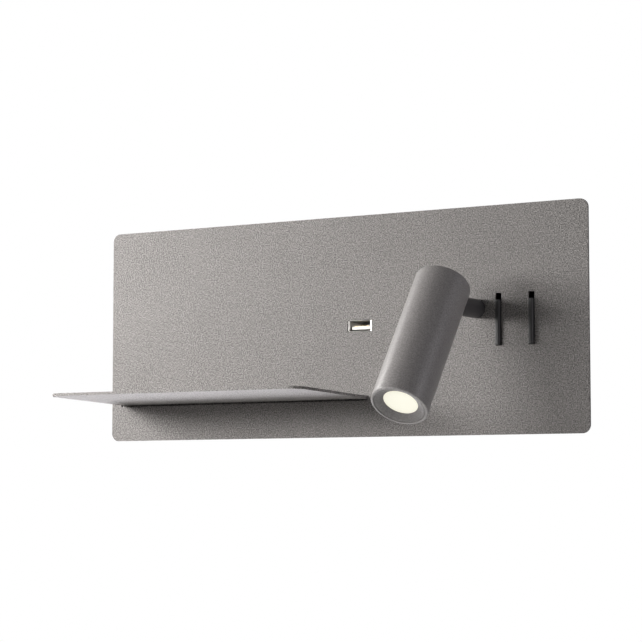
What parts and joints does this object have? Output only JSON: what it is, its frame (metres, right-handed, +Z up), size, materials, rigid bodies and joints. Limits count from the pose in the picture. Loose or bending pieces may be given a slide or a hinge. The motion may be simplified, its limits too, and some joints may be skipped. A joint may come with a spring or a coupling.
{
  "type": "wall light with phone shelf",
  "caption": "Wall light with a flat rectangular plate, a thin phone shelf, a USB socket, two slim slide switches and a tube-shaped reading head that tilts and swivels on a short stem.",
  "frame": {"origin": "centre of the wall bracket's back face, on the wall", "axes": "+Y into the wall, so the light faces -Y; +Z up; +X to the right along the wall, seen from the room"},
  "size_m": [0.298, 0.1249, 0.12],
  "materials": {
    "powder_coat": "fine sand-textured matt powder coat, warm dark grey",
    "stem_coat": "satin dark grey paint",
    "zinc_steel": "zinc-plated steel",
    "plated_shell": "nickel-plated stamped steel",
    "turned_aluminium": "turned aluminium",
    "switch_black": "fine-grained matt black plastic",
    "housing_black": "matt black plastic",
    "housing_white": "matt white plastic",
    "tongue_white": "white moulded plastic",
    "rubber_black": "soft black rubber",
    "slide_nylon": "natural nylon",
    "contact_brass": "brass",
    "contact_copper": "copper-alloy spring strip",
    "board_green": "printed board with soldered parts",
    "board_white": "white printed board",
    "led_yellow": "phosphor of the light chip",
    "reflector_bright": "bright metallised plastic",
    "lens_opal": "lit opal lens",
    "diffuser_opal": "opal plastic",
    "lead_brown": "insulated copper lead",
    "lead_blue": "insulated copper lead",
    "lead_black": "insulated copper lead"
  },
  "bodies": {
    "fixture": {"front_panel": "powder_coat", "panel_studs": "zinc_steel", "phone_shelf": "powder_coat", "shelf_nuts": "zinc_steel", "rear_housing": "powder_coat", "housing_nuts": "zinc_steel", "wall_bracket": "zinc_steel", "bracket_screws": "zinc_steel", "cable_grommet": "rubber_black", "driver_base": "housing_white", "driver_cover": "housing_white", "driver_board": "board_green", "module_nuts": "zinc_steel", "terminal_block": "housing_white", "terminal_screws": "contact_brass", "usb_case": "housing_black", "usb_lid": "housing_black", "usb_shell": "plated_shell", "usb_tongue": "tongue_white", "usb_contacts": "contact_brass", "usb_board": "board_green", "reading_switch_body": "housing_black", "reading_switch_terminals": "contact_brass", "backlight_switch_body": "housing_black", "backlight_switch_terminals": "contact_brass", "switch_nuts": "zinc_steel", "swivel_bush": "slide_nylon", "stop_pin": "zinc_steel", "backlight_strip_top": "board_white", "backlight_strip_bottom": "board_white", "backlight_diffuser_top": "diffuser_opal", "backlight_diffuser_bottom": "diffuser_opal", "mains_leads": "lead_brown", "control_leads": "lead_black", "switch_leads": "lead_blue"},
    "stem_arm": {"stem": "stem_coat", "stem_washer": "rubber_black", "stop_washer": "zinc_steel", "wave_washer": "zinc_steel", "swivel_nut": "zinc_steel"},
    "head": {"head_tube": "powder_coat", "head_rear_cap": "powder_coat", "rear_cap_screws": "zinc_steel", "pivot_carrier": "turned_aluminium", "carrier_set_screws": "zinc_steel", "tilt_pin": "zinc_steel", "tilt_washers": "slide_nylon", "heat_sink": "turned_aluminium", "led_board": "board_white", "led_chip": "led_yellow", "reflector": "reflector_bright", "lens": "lens_opal", "baffle_ring": "powder_coat", "head_leads": "lead_black"},
    "reading_slider": {"reading_switch_slider": "switch_black", "reading_switch_bridge": "contact_copper"},
    "backlight_slider": {"backlight_switch_slider": "switch_black", "backlight_switch_bridge": "contact_copper"}
  },
  "joints": [
    {"name": "head_swivel", "type": "hinge", "parent": "fixture", "child": "stem_arm", "pos_m": [0.0857, -0.028, 0.006], "axis": [0, 1, 0], "range_deg": [-160, 160]},
    {"name": "head_tilt", "type": "hinge", "parent": "stem_arm", "child": "head", "pos_m": [0.0857, -0.0734, 0.006], "axis": [-1, 0, 0], "range_deg": [-36.4, 53.4]},
    {"name": "reading_slide", "type": "slide", "parent": "fixture", "child": "reading_slider", "axis": [0, 0, 1], "range_m": [0, 0.0034]},
    {"name": "backlight_slide", "type": "slide", "parent": "fixture", "child": "backlight_slider", "axis": [0, 0, 1], "range_m": [0, 0.0034]}
  ]
}
